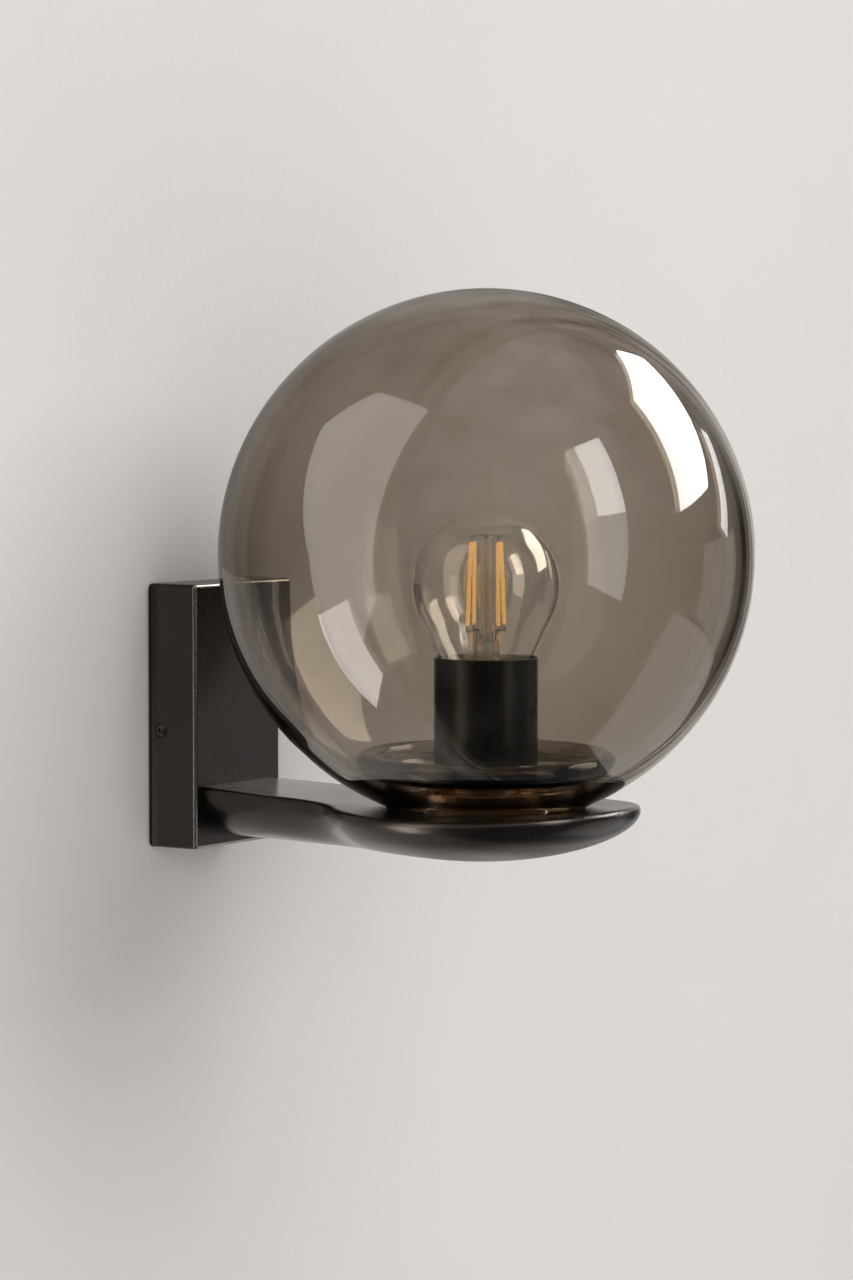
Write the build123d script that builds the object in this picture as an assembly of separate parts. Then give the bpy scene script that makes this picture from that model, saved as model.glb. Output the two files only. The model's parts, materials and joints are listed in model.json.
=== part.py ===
from build123d import *
import math
import os

# Globe wall light: a wall box, a spoon-shaped arm, a smoked glass globe and a screw-in filament bulb.
# Millimetres. The origin is the middle of the wall face, +Z is up and the light stands out along -Y.

# wall box
box_width = 60.6
box_height = 109.4
box_depth = 24.5
box_wall = 2.2
box_edge_radius = 1.6

# wall bracket
bracket_thickness = 2.0
bracket_end_gap = 0.6
bracket_corner_radius = 3.0
side_gap = 0.3
ear_height = 18.0
ear_reach = 11.0
wall_slot_spacing = 76.0
wall_slot_length = 12.0
wall_slot_width = 4.5
cable_hole_radius = 8.0
cable_hole_height = 18.0
grommet_bore_radius = 4.5
grommet_flange_radius = 10.0
grommet_flange_thickness = 1.5

# side screws and their nuts
side_screw_radius = 1.5
side_screw_length = 9.0
side_screw_head_radius = 2.85
side_screw_head_height = 1.65
side_screw_socket = 2.0
side_screw_socket_depth = 1.0
side_screw_from_wall = 7.0
side_screw_height = -6.0
head_pocket_depth = 0.4
head_pocket_gap = 0.25
nut_across = 5.5
nut_thickness = 2.8

# plate inside the box
plate_width = 48.0
plate_end_gap = 1.5
plate_high = 22.0
plate_thickness = 2.0
plate_corner_radius = 3.0

# arm
arm_reach = 146.2
dish_radius = 62.2
arm_root_half_width = 26.3
arm_neck_half_width = 29.5
arm_neck_from_wall = 60.0
arm_root_rise = 4.4
arm_tip_rise = 2.4
arm_rim_radius = 2.2
arm_root_depth = 22.0
dish_depth = 20.4
dish_join_share = 0.72
arm_top_bend = 1.3
arm_channel_radius = 4.0
arm_channel_drop = 9.5
arm_screw_radius = 2.5
arm_screw_length = 17.0
arm_screw_head_radius = 4.25
arm_screw_head_height = 5.0
arm_screw_socket = 4.0
arm_screw_spread = 30.0
arm_screw_rise = 5.0
washer_thickness = 1.0
washer_rim = 1.0

# seat of the globe on the arm
seat_above_box_end = 20.8
seat_depth = 0.7
seat_radius = 40.3
gasket_thickness = 1.0
gasket_inner_radius = 36.6
gasket_outer_radius = 40.0

# globe
globe_radius = 107.5
globe_wall = 5.0
neck_bore_radius = 37.0
neck_wall = 4.0
base_land = 1.9
lip_radius = 52.4
lip_bead_radius = 4.3
lip_top_height = 22.2
globe_gap = 0.3
globe_arm_gap = 0.8

# gallery and ring under the holder
gallery_radius = 36.2
gallery_height = 10.9
gallery_wall = 2.0
gallery_rim_round = 0.8
gallery_base_thickness = 1.5
ring_radius = 21.8
ring_height = 5.9
ring_bead = 0.55

# nipple and lock nut
nipple_radius = 5.0
nipple_bore_radius = 3.6
nipple_depth_in_arm = 5.6
lock_nut_across = 14.0
lock_nut_thickness = 3.0
cap_above_nut = 0.5

# lamp holder
cup_radius = 20.9
cup_wall = 1.2
cup_height = 44.8
holder_low_radius = 17.6
holder_high_radius = 18.6
holder_cap_height = 7.5
holder_cap_floor = 2.5
holder_cap_wall = 2.0
holder_height = 29.7
holder_bore_radius = 15.0
socket_floor_thickness = 1.8
contact_well_depth = 5.2
contact_well_inset = 3.0
tip_above_well = 2.2
shell_radius = 14.7
shell_wall = 0.6
shell_length = 25.0
thread_pitch = 3.6
thread_depth = 0.7
shell_thread_start = 2.0
shell_thread_end = 1.0
terminal_length = 5.0
terminal_height = 3.6
terminal_offset = 6.8
leaf_width = 4.0
leaf_thickness = 0.5
leaf_pad_radius = 3.0
post_radius = 0.7
post_offset = 9.7
side_contact_thickness = 0.7
side_contact_gap = 0.3

# bulb
bulb_radius = 30.0
bulb_glass = 1.0
bulb_length = 102.7
bulb_neck_radius = 19.0
bulb_neck_drop = 28.5
bulb_leave_angle = -30.0
cap_radius = 13.1
cap_wall = 0.5
cap_length = 25.0
cap_thread_start = 1.5
cap_thread_end = 4.0
cap_tip_radius = 4.8
cap_tip_height = 1.0
cap_insulator_height = 3.0
glass_in_cap = 3.5
stem_radius = 2.2
stem_top = 17.5
stem_press_top = -22.0
stem_press_radius = 5.5
stem_press_slope = 1.5
stem_flare_height = 13.0
filament_radius = 1.0
filament_count = 4
filament_top = 17.3
filament_end_gap = 0.15
filament_length = 35.0
filament_top_spread = 6.3
filament_low_spread = 8.9
filament_twist = 30.0
filament_turn = 57.0
support_wire_radius = 0.35
driver_radius = 10.0
driver_thickness = 1.6
driver_chip = (7.0, 8.0, 7.4)
driver_chip_offset = -0.5
driver_can_radius = 2.5
driver_can_height = 9.4
driver_can_offset = 6.5

# terminal block and wires
block_width = 29.0
block_depth = 12.0
block_height = 17.0
block_low = 2.0
block_corner_radius = 1.5
pole_pitch = 9.0
pole_tube_radius = 2.8
pole_tube_length = 15.0
pole_screw_radius = 1.25
pole_screw_head_radius = 1.8
pole_screw_head_height = 1.6
pole_screw_spacing = 8.0
block_screw_radius = 1.2
block_screw_head_radius = 2.0
block_screw_head_height = 1.4
screw_slot_width = 0.6
screw_slot_depth = 0.6
wire_radius = 1.1
wire_bore_radius = 1.5
wire_pair_spacing = 3.4
wire_entry = 7.0
wire_bend = 5.0
wire_end_bend = 2.2
wire_below_block = 6.0
wire_turn_drop = 14.0
earth_wire_below_block = 4.0
earth_wire_turn_drop = 4.0
earth_wire_above_tag = 2.0
earth_wire_bend = 2.5
earth_x = 14.0
earth_z = -20.0
earth_screw_radius = 2.0
earth_screw_head_radius = 3.4
earth_screw_head_height = 2.2
tag_thickness = 0.8
tag_radius = 3.8
tag_barrel_wall = 0.6
tag_barrel_length = 5.0

# clearances
running_gap = 0.1
thread_gap = 0.05
contact_gap = 0.1

# heights and places worked out from the sizes above
lamp_y = -arm_reach
plate_low = box_wall + plate_end_gap - box_height / 2
seat_height = seat_above_box_end - box_height / 2
arm_top = seat_height + seat_depth
globe_low = seat_height + gasket_thickness + globe_gap
globe_base_radius = neck_bore_radius + base_land
globe_centre = globe_low + math.sqrt(globe_radius**2 - globe_base_radius**2)
gallery_top = seat_height + gallery_height
ring_top = gallery_top + ring_height
cup_top = ring_top + cup_height
channel_height = arm_top - arm_channel_drop
plate_face = -(box_depth - box_wall - plate_thickness)
block_axis_y = plate_face + block_depth / 2
ear_outer = box_width / 2 - box_wall - side_gap
lock_nut_low = seat_height + gallery_base_thickness + washer_thickness
holder_low = lock_nut_low + lock_nut_thickness + cap_above_nut
holder_cap_top = holder_low + holder_cap_height
holder_well_floor = holder_cap_top + socket_floor_thickness
bulb_low = holder_well_floor + tip_above_well
leaf_low = bulb_low - contact_gap - leaf_thickness
bulb_centre = bulb_low + bulb_length - bulb_radius
cap_low = bulb_low + cap_tip_height + cap_insulator_height
cap_high = cap_low + cap_length
shell_low = holder_well_floor + contact_well_depth
arm_screw_z = channel_height + arm_screw_rise
arm_screw_places = (-arm_screw_spread / 2, arm_screw_spread / 2)
block_middle = block_low + block_height / 2
block_screw_places = (-pole_pitch / 2, pole_pitch / 2)
pole_places = (-pole_pitch, 0.0, pole_pitch)
pole_screw_places = (block_middle - pole_screw_spacing / 2, block_middle + pole_screw_spacing / 2)


def upright(radius, low, high, x=0.0, y=lamp_y):
    return Pos(x, y, (low + high) / 2) * Cylinder(radius, high - low)


def tube(outer, inner, low, high, x=0.0, y=lamp_y):
    return upright(outer, low, high, x, y) - upright(inner, low - 1, high + 1, x, y)


def along_y(radius, y_low, y_high, x, z):
    return Pos(x, (y_low + y_high) / 2, z) * Rot(90, 0, 0) * Cylinder(radius, y_high - y_low)


def along_x(radius, x_low, x_high, y, z):
    return Pos((x_low + x_high) / 2, y, z) * Rot(0, 90, 0) * Cylinder(radius, x_high - x_low)


def block(x_low, x_high, y_low, y_high, z_low, z_high):
    middle = Pos((x_low + x_high) / 2, (y_low + y_high) / 2, (z_low + z_high) / 2)
    return middle * Box(x_high - x_low, y_high - y_low, z_high - z_low)


def driver_slot(x, z, head_high, head_radius):
    # the slot across a screw's head, for a flat screwdriver
    half = screw_slot_width / 2
    floor = head_high - screw_slot_depth
    return block(x - head_radius, x + head_radius, floor, head_high, z - half, z + half)


def turned(outline):
    # outline edges are drawn as (radius, height) and turned about the lamp's own axis
    face = make_face(Plane.XZ * outline)
    return Pos(0, lamp_y, 0) * revolve(face, Axis.Z)


def turned_polygon(points):
    return turned(Polyline(*points, close=True))


def rod_between(radius, start, end):
    start_point = Vector(*start)
    end_point = Vector(*end)
    plane = Plane(origin=start_point, z_dir=end_point - start_point)
    return extrude(plane * Circle(radius), (end_point - start_point).length)


def wire_along(points, radii):
    path = FilletPolyline(*points, radius=radii)
    start = Plane(origin=path @ 0, z_dir=path % 0)
    return sweep(start * Circle(wire_radius), path=path)


# wall box, bracket and side screws

def box_cover():
    shell = block(-box_width / 2, box_width / 2, -box_depth, 0, -box_height / 2, box_height / 2)
    shell = fillet(shell.edges(), box_edge_radius)
    inner_x = box_width / 2 - box_wall
    inner_z = box_height / 2 - box_wall
    shell -= block(-inner_x, inner_x, -box_depth + box_wall, 1, -inner_z, inner_z)
    shell -= along_y(arm_channel_radius, -box_depth - 1, 0, 0, channel_height)
    for x in arm_screw_places:
        shell -= along_y(arm_screw_radius + running_gap, -box_depth - 1, 0, x, arm_screw_z)
    for side in (-1, 1):
        reach = side * (box_width / 2 + 1)
        hole_radius = side_screw_radius + running_gap
        pocket_start = side * (box_width / 2 - head_pocket_depth)
        hole_ends = sorted((0, reach))
        pocket_ends = sorted((pocket_start, reach))
        shell -= along_x(hole_radius, *hole_ends, -side_screw_from_wall, side_screw_height)
        pocket_radius = side_screw_head_radius + head_pocket_gap
        shell -= along_x(pocket_radius, *pocket_ends, -side_screw_from_wall, side_screw_height)
    return shell


def wall_bracket():
    half_height = box_height / 2 - box_wall - bracket_end_gap
    bracket = block(-ear_outer, ear_outer, -bracket_thickness, 0, -half_height, half_height)
    bracket = fillet(bracket.edges().filter_by(Axis.Y), bracket_corner_radius)
    ear_low = side_screw_height - ear_height / 2
    ear_high = side_screw_height + ear_height / 2
    slot_half = side_screw_radius + side_gap
    ear_front = -bracket_thickness - ear_reach
    for side in (-1, 1):
        ear_x = sorted((side * ear_outer, side * (ear_outer - bracket_thickness)))
        ear = block(*ear_x, ear_front, 0, ear_low, ear_high)
        slot_low = side_screw_height - slot_half
        slot_high = side_screw_height + slot_half
        ear -= block(*ear_x, ear_front - 1, -side_screw_from_wall, slot_low, slot_high)
        ear -= along_x(slot_half, *ear_x, -side_screw_from_wall, side_screw_height)
        bracket += ear
    for z in (-wall_slot_spacing / 2, wall_slot_spacing / 2):
        slot = Plane.XZ * (Pos(0, z) * Rot(0, 0, 90) * SlotOverall(wall_slot_length, wall_slot_width))
        bracket -= extrude(slot, bracket_thickness + 1, both=True)
    bracket -= along_y(cable_hole_radius, -bracket_thickness - 1, 1, 0, cable_hole_height)
    return bracket


def cable_grommet():
    front = -bracket_thickness - grommet_flange_thickness
    body_radius = cable_hole_radius - thread_gap
    grommet = along_y(body_radius, -bracket_thickness, 0, 0, cable_hole_height)
    grommet += along_y(grommet_flange_radius, front, -bracket_thickness, 0, cable_hole_height)
    return grommet - along_y(grommet_bore_radius, front - 1, 1, 0, cable_hole_height)


def side_screw(side):
    seat_x = box_width / 2 - head_pocket_depth + running_gap
    dome_radius = (side_screw_head_radius**2 + side_screw_head_height**2) / (2 * side_screw_head_height)
    head = Cylinder(side_screw_head_radius, side_screw_head_height)
    head = Pos(0, 0, side_screw_head_height / 2) * head
    head &= Pos(0, 0, side_screw_head_height - dome_radius) * Sphere(dome_radius)
    socket = RegularPolygon(side_screw_socket / 2, 6, major_radius=False)
    socket_floor = side_screw_head_height - side_screw_socket_depth
    head -= Pos(0, 0, socket_floor) * extrude(socket, side_screw_head_height)
    shank = Pos(0, 0, -side_screw_length / 2) * Cylinder(side_screw_radius, side_screw_length)
    turn = Rot(0, 90 * side, 0)
    return Pos(side * seat_x, -side_screw_from_wall, side_screw_height) * turn * (head + shank)


def clamp_nuts():
    nuts = []
    for side in (-1, 1):
        outer = ear_outer - bracket_thickness - side_gap
        nut_x = sorted((side * outer, side * (outer - nut_thickness)))
        half = nut_across / 2
        y = -side_screw_from_wall
        nut = block(*nut_x, y - half, y + half, side_screw_height - half, side_screw_height + half)
        nut -= along_x(side_screw_radius + thread_gap, nut_x[0] - 1, nut_x[1] + 1, y, side_screw_height)
        nuts.append(nut)
    return nuts


# plate inside the box, arm screws

def mounting_plate():
    half = plate_width / 2
    wall_face = plate_face - plate_thickness
    plate = block(-half, half, wall_face, plate_face, plate_low, plate_high)
    plate = fillet(plate.edges().filter_by(Axis.Y), plate_corner_radius)
    plate -= along_y(arm_channel_radius, wall_face - 1, plate_face + 1, 0, channel_height)
    for x in arm_screw_places:
        plate -= along_y(arm_screw_radius + running_gap, wall_face - 1, plate_face + 1, x, arm_screw_z)
    for x in block_screw_places:
        hole_radius = block_screw_radius + thread_gap
        plate -= along_y(hole_radius, wall_face - 1, plate_face + 1, x, block_middle)
    plate -= along_y(earth_screw_radius + thread_gap, wall_face - 1, plate_face + 1, earth_x, earth_z)
    return plate


def arm_washers():
    washers = []
    for x in arm_screw_places:
        face = plate_face + washer_thickness
        washer = along_y(arm_screw_head_radius + washer_rim, plate_face, face, x, arm_screw_z)
        washer -= along_y(arm_screw_radius + running_gap, plate_face - 1, face + 1, x, arm_screw_z)
        washers.append(washer)
    return washers


def arm_screws():
    screws = []
    seat = plate_face + washer_thickness
    for x in arm_screw_places:
        screw = along_y(arm_screw_radius, seat - arm_screw_length, seat, x, arm_screw_z)
        head = along_y(arm_screw_head_radius, seat, seat + arm_screw_head_height, x, arm_screw_z)
        socket = Pos(x, seat + arm_screw_head_height, arm_screw_z) * Rot(90, 0, 0)
        hexagon = RegularPolygon(arm_screw_socket / 2, 6, major_radius=False)
        head -= socket * extrude(hexagon, arm_screw_head_height / 2)
        screws.append(screw + head)
    return screws


# arm

def rim_half_width(wall_distance):
    # half the arm's width: steady from the root, then flaring into the round dish
    past_axis = wall_distance - arm_reach
    join = arm_reach - dish_join_share * dish_radius
    if wall_distance >= join:
        return math.sqrt(max(dish_radius**2 - past_axis**2, 0))
    if wall_distance <= arm_neck_from_wall:
        share = (wall_distance - box_depth) / (arm_neck_from_wall - box_depth)
        ease = math.sin(share * math.pi / 2)
        return arm_root_half_width + (arm_neck_half_width - arm_root_half_width) * ease
    join_width = math.sqrt(dish_radius**2 - (join - arm_reach)**2)
    join_slope = (arm_reach - join) / join_width
    span = join - arm_neck_from_wall
    t = (wall_distance - arm_neck_from_wall) / span
    start_part = (2 * t**3 - 3 * t**2 + 1) * arm_neck_half_width
    end_part = (-2 * t**3 + 3 * t**2) * join_width
    return start_part + end_part + (t**3 - t**2) * span * join_slope


def arm_section(wall_distance):
    # one closed outline across the arm: a flat top with rounded rims over a half-elliptic underside
    past_axis = wall_distance - arm_reach
    half = rim_half_width(wall_distance)
    root_distance = arm_reach - box_depth
    if past_axis > 0:
        top = arm_top + arm_tip_rise * (past_axis / dish_radius)**2
        depth = dish_depth
    else:
        share = -past_axis / root_distance
        top = arm_top + arm_root_rise * share**arm_top_bend
        depth = dish_depth + (arm_root_depth - dish_depth) * share**2
    shoulder = top - arm_rim_radius
    upper = []
    lower = []
    # points stand closest together where the rim is rounded
    angles = [0, 3, 6, 9, 12, 15, 20, 30, 45, 60, 75]
    angles = angles + [90] + [180 - angle for angle in reversed(angles)]
    shares = [angle / 180 for angle in angles]
    for angle in angles:
        x = half * math.cos(math.radians(angle))
        if past_axis > 0:
            inset = dish_radius - math.hypot(x, past_axis)
            fall = math.sqrt(max(1 - (x**2 + past_axis**2) / dish_radius**2, 0))
        else:
            inset = half - abs(x)
            fall = math.sqrt(max(1 - (x / half)**2, 0))
        short = max(arm_rim_radius - inset, 0)
        rise = math.sqrt(max(arm_rim_radius**2 - short**2, 0))
        if angle in (0, 180):
            rise = 0
            fall = 0
        upper.append(Vector(x, -wall_distance, shoulder + rise))
        lower.append(Vector(x, -wall_distance, shoulder - (depth - arm_rim_radius) * fall))
    lower.reverse()
    top_edge = Edge.make_spline(upper, parameters=shares)
    low_edge = Edge.make_spline(lower, parameters=shares)
    return Wire([top_edge, low_edge])


def arm():
    dish_start = math.asin(-dish_join_share)
    join = arm_reach - dish_join_share * dish_radius
    distances = [box_depth + share * (join - box_depth) / 10 for share in range(10)]
    dish_steps = 20
    for step in range(dish_steps):
        angle = dish_start + (math.pi / 2 - dish_start) * step / dish_steps
        distances.append(arm_reach + dish_radius * math.sin(angle))
    sections = [arm_section(distance) for distance in distances]
    tip_height = arm_top + arm_tip_rise - arm_rim_radius
    tip = Vertex(0, -arm_reach - dish_radius, tip_height)
    body = Solid.make_loft(sections + [tip])
    body -= Pos(0, lamp_y, globe_centre) * Sphere(globe_radius + globe_arm_gap)
    body -= upright(seat_radius, seat_height, arm_top + 10)
    channel_end = lamp_y - arm_channel_radius
    body -= along_y(arm_channel_radius, channel_end, -box_depth + 1, 0, channel_height)
    body -= upright(nipple_radius + thread_gap, channel_height, seat_height + 1)
    screw_end = plate_face + washer_thickness - arm_screw_length - 1
    for x in arm_screw_places:
        body -= along_y(arm_screw_radius + thread_gap, screw_end, -box_depth + 1, x, arm_screw_z)
    return body


def globe_gasket():
    return tube(gasket_outer_radius, gasket_inner_radius, seat_height, seat_height + gasket_thickness)


# globe

def globe():
    inner_radius = globe_radius - globe_wall
    neck_outer = neck_bore_radius + neck_wall
    bead_r = lip_radius - lip_bead_radius
    bead_z = globe_low + lip_top_height - lip_bead_radius
    low_z = bead_z - lip_bead_radius
    turn_r = neck_outer + neck_wall
    turn_z = low_z - neck_wall
    wall_low = globe_centre - math.sqrt(inner_radius**2 - neck_outer**2)
    start_angle = math.degrees(math.asin((globe_low - globe_centre) / globe_radius))
    inner_angle = math.degrees(math.asin((wall_low - globe_centre) / inner_radius))
    # the point where the rolled bead meets the outside of the turned-over neck
    step_r = bead_r - turn_r
    step_z = bead_z - turn_z
    apart = math.hypot(step_r, step_z)
    along = (4 * neck_wall**2 - lip_bead_radius**2 + apart**2) / (2 * apart)
    across = math.sqrt(4 * neck_wall**2 - along**2)
    meet_r = turn_r + (along * step_r - across * step_z) / apart
    meet_z = turn_z + (along * step_z + across * step_r) / apart
    bead_meet = math.degrees(math.atan2(meet_z - bead_z, meet_r - bead_r))
    turn_meet = math.degrees(math.atan2(meet_z - turn_z, meet_r - turn_r))
    outline = [
        Line((neck_bore_radius, globe_low), (globe_base_radius, globe_low)),
        CenterArc((0, globe_centre), globe_radius, start_angle, 90 - start_angle),
        Line((0, globe_centre + globe_radius), (0, globe_centre + inner_radius)),
        CenterArc((0, globe_centre), inner_radius, inner_angle, 90 - inner_angle),
        Line((neck_outer, wall_low), (neck_outer, turn_z)),
        CenterArc((turn_r, turn_z), neck_wall, 90, 90),
        Line((turn_r, low_z), (bead_r, low_z)),
        CenterArc((bead_r, bead_z), lip_bead_radius, -90, bead_meet % 360 + 90),
        CenterArc((turn_r, turn_z), 2 * neck_wall, turn_meet, 180 - turn_meet),
        Line((neck_bore_radius, turn_z), (neck_bore_radius, globe_low)),
    ]
    face = make_face(Wire([Plane.XZ * edge for edge in outline]))
    body = revolve(face, Axis.Z)
    low_edges = body.edges().filter_by(GeomType.CIRCLE).group_by(Axis.Z)[0]
    body = fillet(low_edges, base_land * 0.4)
    return Pos(0, lamp_y, 0) * body


# gallery, ring, nipple

def gallery():
    body = tube(gallery_radius, gallery_radius - gallery_wall, seat_height, gallery_top - gallery_wall)
    body += tube(gallery_radius, holder_low_radius + running_gap * 3, gallery_top - gallery_wall, gallery_top)
    outer = body.edges().filter_by(GeomType.CIRCLE).sort_by(Axis.Z)[-2:]
    rim = [edge for edge in outer if edge.radius > gallery_radius - 1]
    return fillet(rim, gallery_rim_round)


def gallery_base():
    radius = gallery_radius - gallery_wall - thread_gap
    return tube(radius, nipple_radius + thread_gap, seat_height, seat_height + gallery_base_thickness)


def holder_ring():
    inner = holder_low_radius + running_gap * 3
    outer = ring_radius
    neck = outer - ring_bead
    bead_low = ring_top - 2.4 * ring_bead
    foot_high = gallery_top + 2 * ring_bead
    outline = [
        Line((inner, gallery_top), (outer - ring_bead, gallery_top)),
        CenterArc((outer - ring_bead, gallery_top + ring_bead), ring_bead, -90, 180),
        Line((neck, foot_high), (neck, bead_low)),
        CenterArc((neck, bead_low + ring_bead), ring_bead, -90, 180),
        Line((neck, bead_low + 2 * ring_bead), (neck, ring_top)),
        Line((neck, ring_top), (inner, ring_top)),
        Line((inner, ring_top), (inner, gallery_top)),
    ]
    return Pos(0, lamp_y, 0) * revolve(make_face(Wire([Plane.XZ * edge for edge in outline])), Axis.Z)


def nipple():
    low = seat_height - nipple_depth_in_arm
    return tube(nipple_radius, nipple_bore_radius, low, holder_low + holder_cap_floor)


def lock_washer():
    low = seat_height + gallery_base_thickness
    return tube(lock_nut_across / 2 + washer_rim, nipple_radius + thread_gap, low, low + washer_thickness)


def lock_nut():
    nut = extrude(RegularPolygon(lock_nut_across / 2, 6, major_radius=False), lock_nut_thickness)
    nut = Pos(0, lamp_y, lock_nut_low) * nut
    return nut - upright(nipple_radius + thread_gap, lock_nut_low - 1, lock_nut_low + lock_nut_thickness + 1)


# lamp holder

def holder_cup():
    inner = cup_radius - cup_wall
    body = tube(cup_radius, inner, ring_top, cup_top)
    body += tube(cup_radius, holder_low_radius + running_gap, ring_top, ring_top + cup_wall)
    rims = body.edges().filter_by(GeomType.CIRCLE).group_by(Axis.Z)
    body = fillet(rims[-1], cup_wall * 0.35)
    low_circles = body.edges().filter_by(GeomType.CIRCLE).group_by(Axis.Z)[0]
    low_rim = [edge for edge in low_circles if edge.radius > inner]
    return fillet(low_rim, cup_wall * 0.4)


def holder_cap():
    high = holder_low + holder_cap_height
    cap = upright(holder_low_radius, holder_low, high)
    cap -= upright(holder_low_radius - holder_cap_wall, holder_low + holder_cap_floor, high + 1)
    return cap - upright(nipple_radius + thread_gap, holder_low - 1, high)


def holder_body():
    step_z = ring_top + cup_wall
    high = step_z + holder_height
    body = upright(holder_low_radius, holder_cap_top, step_z)
    body += upright(holder_high_radius, step_z, high)
    body -= upright(holder_bore_radius, shell_low, high + 1)
    body -= upright(holder_bore_radius - contact_well_inset, holder_well_floor, shell_low + 1)
    slot_x = (shell_radius - 2 * side_contact_gap - side_contact_thickness, shell_radius)
    slot_y = (lamp_y - leaf_width / 2, lamp_y + leaf_width / 2)
    body -= block(*slot_x, *slot_y, holder_cap_top - 1, shell_low + 1)
    body -= upright(post_radius + thread_gap, holder_cap_top - 1, holder_well_floor + 1, -post_offset)
    return body


def thread_wave(base_radius, low, high):
    # a run of rounded thread ridges, as (radius, height) arcs from low to high
    count = int((high - low) / thread_pitch)
    arcs = []
    half = thread_pitch / 2
    for turn in range(count):
        z = low + turn * thread_pitch
        crest = (base_radius + thread_depth / 2, z + half / 2)
        root = (base_radius - thread_depth / 2, z + 3 * half / 2)
        arcs.append(ThreePointArc((base_radius, z), crest, (base_radius, z + half)))
        arcs.append(ThreePointArc((base_radius, z + half), root, (base_radius, z + thread_pitch)))
    return arcs, low + count * thread_pitch


def threaded_shell():
    # rounded thread with straight ends
    base = shell_radius - thread_depth / 2
    high = shell_low + shell_length
    wave_low = shell_low + shell_thread_start
    wave_end = high - shell_thread_end
    outer, wave_high = thread_wave(base, wave_low, wave_end)
    inner, wave_high = thread_wave(base - shell_wall, wave_low, wave_end)
    edges = outer + inner
    edges.append(Line((base - shell_wall, shell_low), (base, shell_low)))
    edges.append(Line((base, shell_low), (base, wave_low)))
    edges.append(Line((base - shell_wall, shell_low), (base - shell_wall, wave_low)))
    edges.append(Line((base, wave_high), (base, high)))
    edges.append(Line((base - shell_wall, wave_high), (base - shell_wall, high)))
    edges.append(Line((base - shell_wall, high), (base, high)))
    return Pos(0, lamp_y, 0) * revolve(make_face(Wire([Plane.XZ * edge for edge in edges])), Axis.Z)


def side_contact():
    half = leaf_width / 2 - thread_gap
    outer = shell_radius - side_contact_gap
    inner = outer - side_contact_thickness
    strip = block(inner, outer, lamp_y - half, lamp_y + half, holder_cap_top, shell_low)
    foot_x = terminal_offset + terminal_length
    foot = block(foot_x, outer, lamp_y - half, lamp_y + half, holder_cap_top - leaf_thickness, holder_cap_top)
    return strip + foot


def contact_post():
    return upright(post_radius, holder_cap_top, leaf_low - thread_gap, -post_offset)


def contact_leaf():
    x_low = -post_offset - post_radius
    half = leaf_width / 2
    leaf_high = leaf_low + leaf_thickness
    strip = block(x_low, 0, lamp_y - half, lamp_y + half, leaf_low, leaf_high)
    return strip + upright(leaf_pad_radius, leaf_low, leaf_high)


def holder_terminals():
    terminals = []
    for side in (-1, 1):
        x = sorted((side * terminal_offset, side * (terminal_offset + terminal_length)))
        half = terminal_length / 2
        low = holder_cap_top - terminal_height
        terminals.append(block(*x, lamp_y - half, lamp_y + half, low, holder_cap_top))
    return terminals


def holder_terminal_screws():
    screws = []
    for side in (-1, 1):
        x = side * (terminal_offset + terminal_length / 2)
        y = lamp_y + terminal_length / 2
        middle = holder_cap_top - terminal_height / 2
        screws.append(along_y(pole_screw_radius, y, y + pole_screw_radius, x, middle))
    return screws


# bulb

def bulb_profile(inset):
    # half outline of the envelope, drawn as (radius, height) and drawn in by the glass thickness
    radius = bulb_radius - inset
    across = math.cos(math.radians(bulb_leave_angle))
    down = math.sin(math.radians(bulb_leave_angle))
    leave = (radius * across, bulb_centre + radius * down)
    neck = (bulb_neck_radius - inset, bulb_centre - bulb_neck_drop)
    low_radius = cap_radius - cap_wall - thread_depth - thread_gap - inset
    low = (low_radius, cap_high - glass_in_cap)
    ball = CenterArc((0, bulb_centre), radius, bulb_leave_angle, 90 - bulb_leave_angle)
    neck_curve = Spline(leave, neck, (low_radius, cap_high), tangents=[(down, -across), (0, -1)])
    skirt = Line((low_radius, cap_high), low)
    floor = Line(low, (0, low[1]))
    axis = Line((0, low[1]), (0, bulb_centre + radius))
    edges = [ball, neck_curve, skirt, floor, axis]
    return revolve(make_face(Wire([Plane.XZ * edge for edge in edges])), Axis.Z)


def bulb_glass_envelope():
    hollow = bulb_profile(bulb_glass)
    return Pos(0, lamp_y, 0) * (bulb_profile(0) - hollow)


def bulb_stem():
    # the pinched glass stem: a rod over a tube that flares to the neck and seals it
    low = cap_high - glass_in_cap
    flare_radius = cap_radius - cap_wall - thread_depth - thread_gap - bulb_glass
    press_z = bulb_centre + stem_press_top
    flare_z = low + stem_flare_height
    outer = Spline((stem_press_radius, flare_z), (flare_radius, low), tangents=[(0, -1), (1, -0.6)])
    edges = [
        Line((0, bulb_centre + stem_top), (stem_radius, bulb_centre + stem_top)),
        Line((stem_radius, bulb_centre + stem_top), (stem_radius, press_z)),
        Line((stem_radius, press_z), (stem_press_radius, press_z - stem_press_slope)),
        Line((stem_press_radius, press_z - stem_press_slope), (stem_press_radius, flare_z)),
        outer,
        Line((flare_radius, low), (0, low)),
        Line((0, low), (0, bulb_centre + stem_top)),
    ]
    return Pos(0, lamp_y, 0) * revolve(make_face(Wire([Plane.XZ * edge for edge in edges])), Axis.Z)


def filament_ends(index):
    high_angle = math.radians(filament_turn + index * 360 / filament_count)
    low_angle = high_angle + math.radians(filament_twist)
    high_z = bulb_centre + filament_top
    low_z = high_z - filament_length
    high_x = filament_top_spread * math.cos(high_angle)
    high_y = lamp_y + filament_top_spread * math.sin(high_angle)
    low_x = filament_low_spread * math.cos(low_angle)
    low_y = lamp_y + filament_low_spread * math.sin(low_angle)
    return (high_x, high_y, high_z), (low_x, low_y, low_z)


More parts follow.
